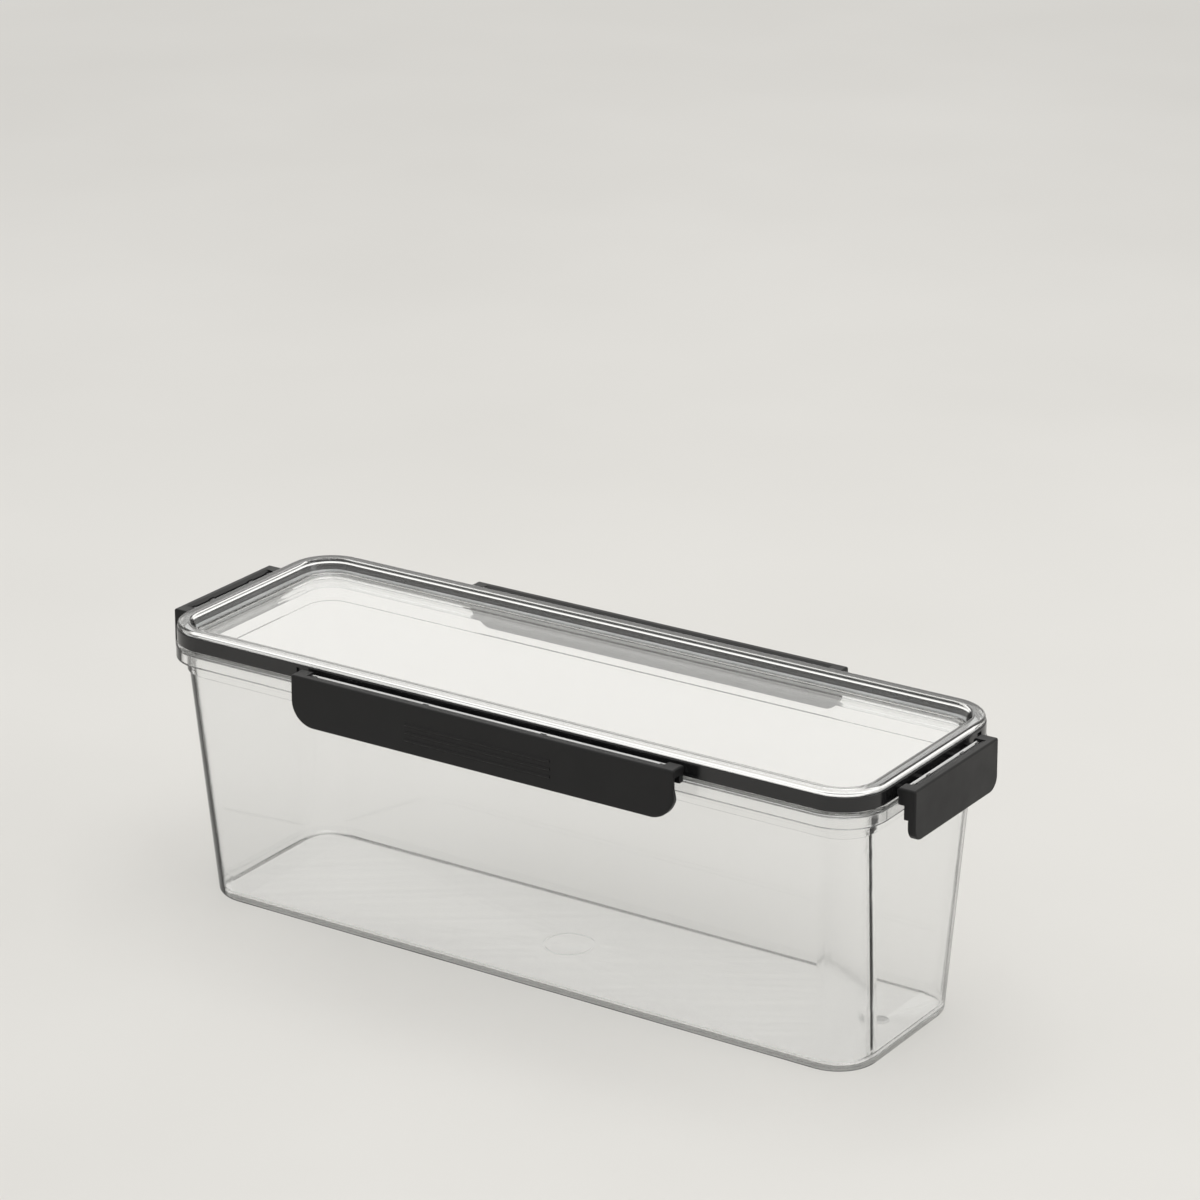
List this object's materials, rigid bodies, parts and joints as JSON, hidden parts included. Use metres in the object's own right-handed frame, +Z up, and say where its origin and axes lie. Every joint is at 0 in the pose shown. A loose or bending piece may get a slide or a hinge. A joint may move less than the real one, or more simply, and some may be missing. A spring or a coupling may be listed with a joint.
{
  "type": "fridge storage bin",
  "caption": "Long clear lidded fridge bin with drafted walls, a recessed stacking lid, a dark band round the lid, a seal and hinged snap latches on every side.",
  "frame": {"origin": "middle of the base, on the surface that the bin stands on", "axes": "+X along the bin, +Y towards the back, +Z up; the front is -Y"},
  "size_m": [0.329, 0.1226, 0.1149],
  "materials": {
    "clear_plastic": "clear, polished",
    "band_plastic": "satin black",
    "latch_plastic": "fine-grained black",
    "silicone": "pale grey translucent",
    "rod_steel": "drawn wire"
  },
  "bodies": {
    "box": {"box": "clear_plastic"},
    "lid": {"lid_panel": "clear_plastic", "latch_frame": "band_plastic", "seal": "silicone", "hinge_rod_front": "rod_steel", "hinge_rod_back": "rod_steel", "hinge_rod_left": "rod_steel", "hinge_rod_right": "rod_steel"},
    "latch_front": {"latch_front": "latch_plastic"},
    "latch_back": {"latch_back": "latch_plastic"},
    "latch_left": {"latch_left": "latch_plastic"},
    "latch_right": {"latch_right": "latch_plastic"}
  },
  "joints": [
    {"name": "lid_lift", "type": "slide", "parent": "box", "child": "lid", "axis": [0, 0, 1], "range_m": [0, 0.12]},
    {"name": "latch_front_swing", "type": "hinge", "parent": "lid", "child": "latch_front", "pos_m": [0, -0.055, 0.111], "axis": [-1, 0, 0], "range_deg": [-6, 90]},
    {"name": "latch_back_swing", "type": "hinge", "parent": "lid", "child": "latch_back", "pos_m": [0, 0.055, 0.111], "axis": [1, 0, 0], "range_deg": [-6, 90]},
    {"name": "latch_left_swing", "type": "hinge", "parent": "lid", "child": "latch_left", "pos_m": [-0.1585, 0, 0.111], "axis": [0, 1, 0], "range_deg": [-6, 90]},
    {"name": "latch_right_swing", "type": "hinge", "parent": "lid", "child": "latch_right", "pos_m": [0.1585, 0, 0.111], "axis": [0, -1, 0], "range_deg": [-6, 90]}
  ]
}
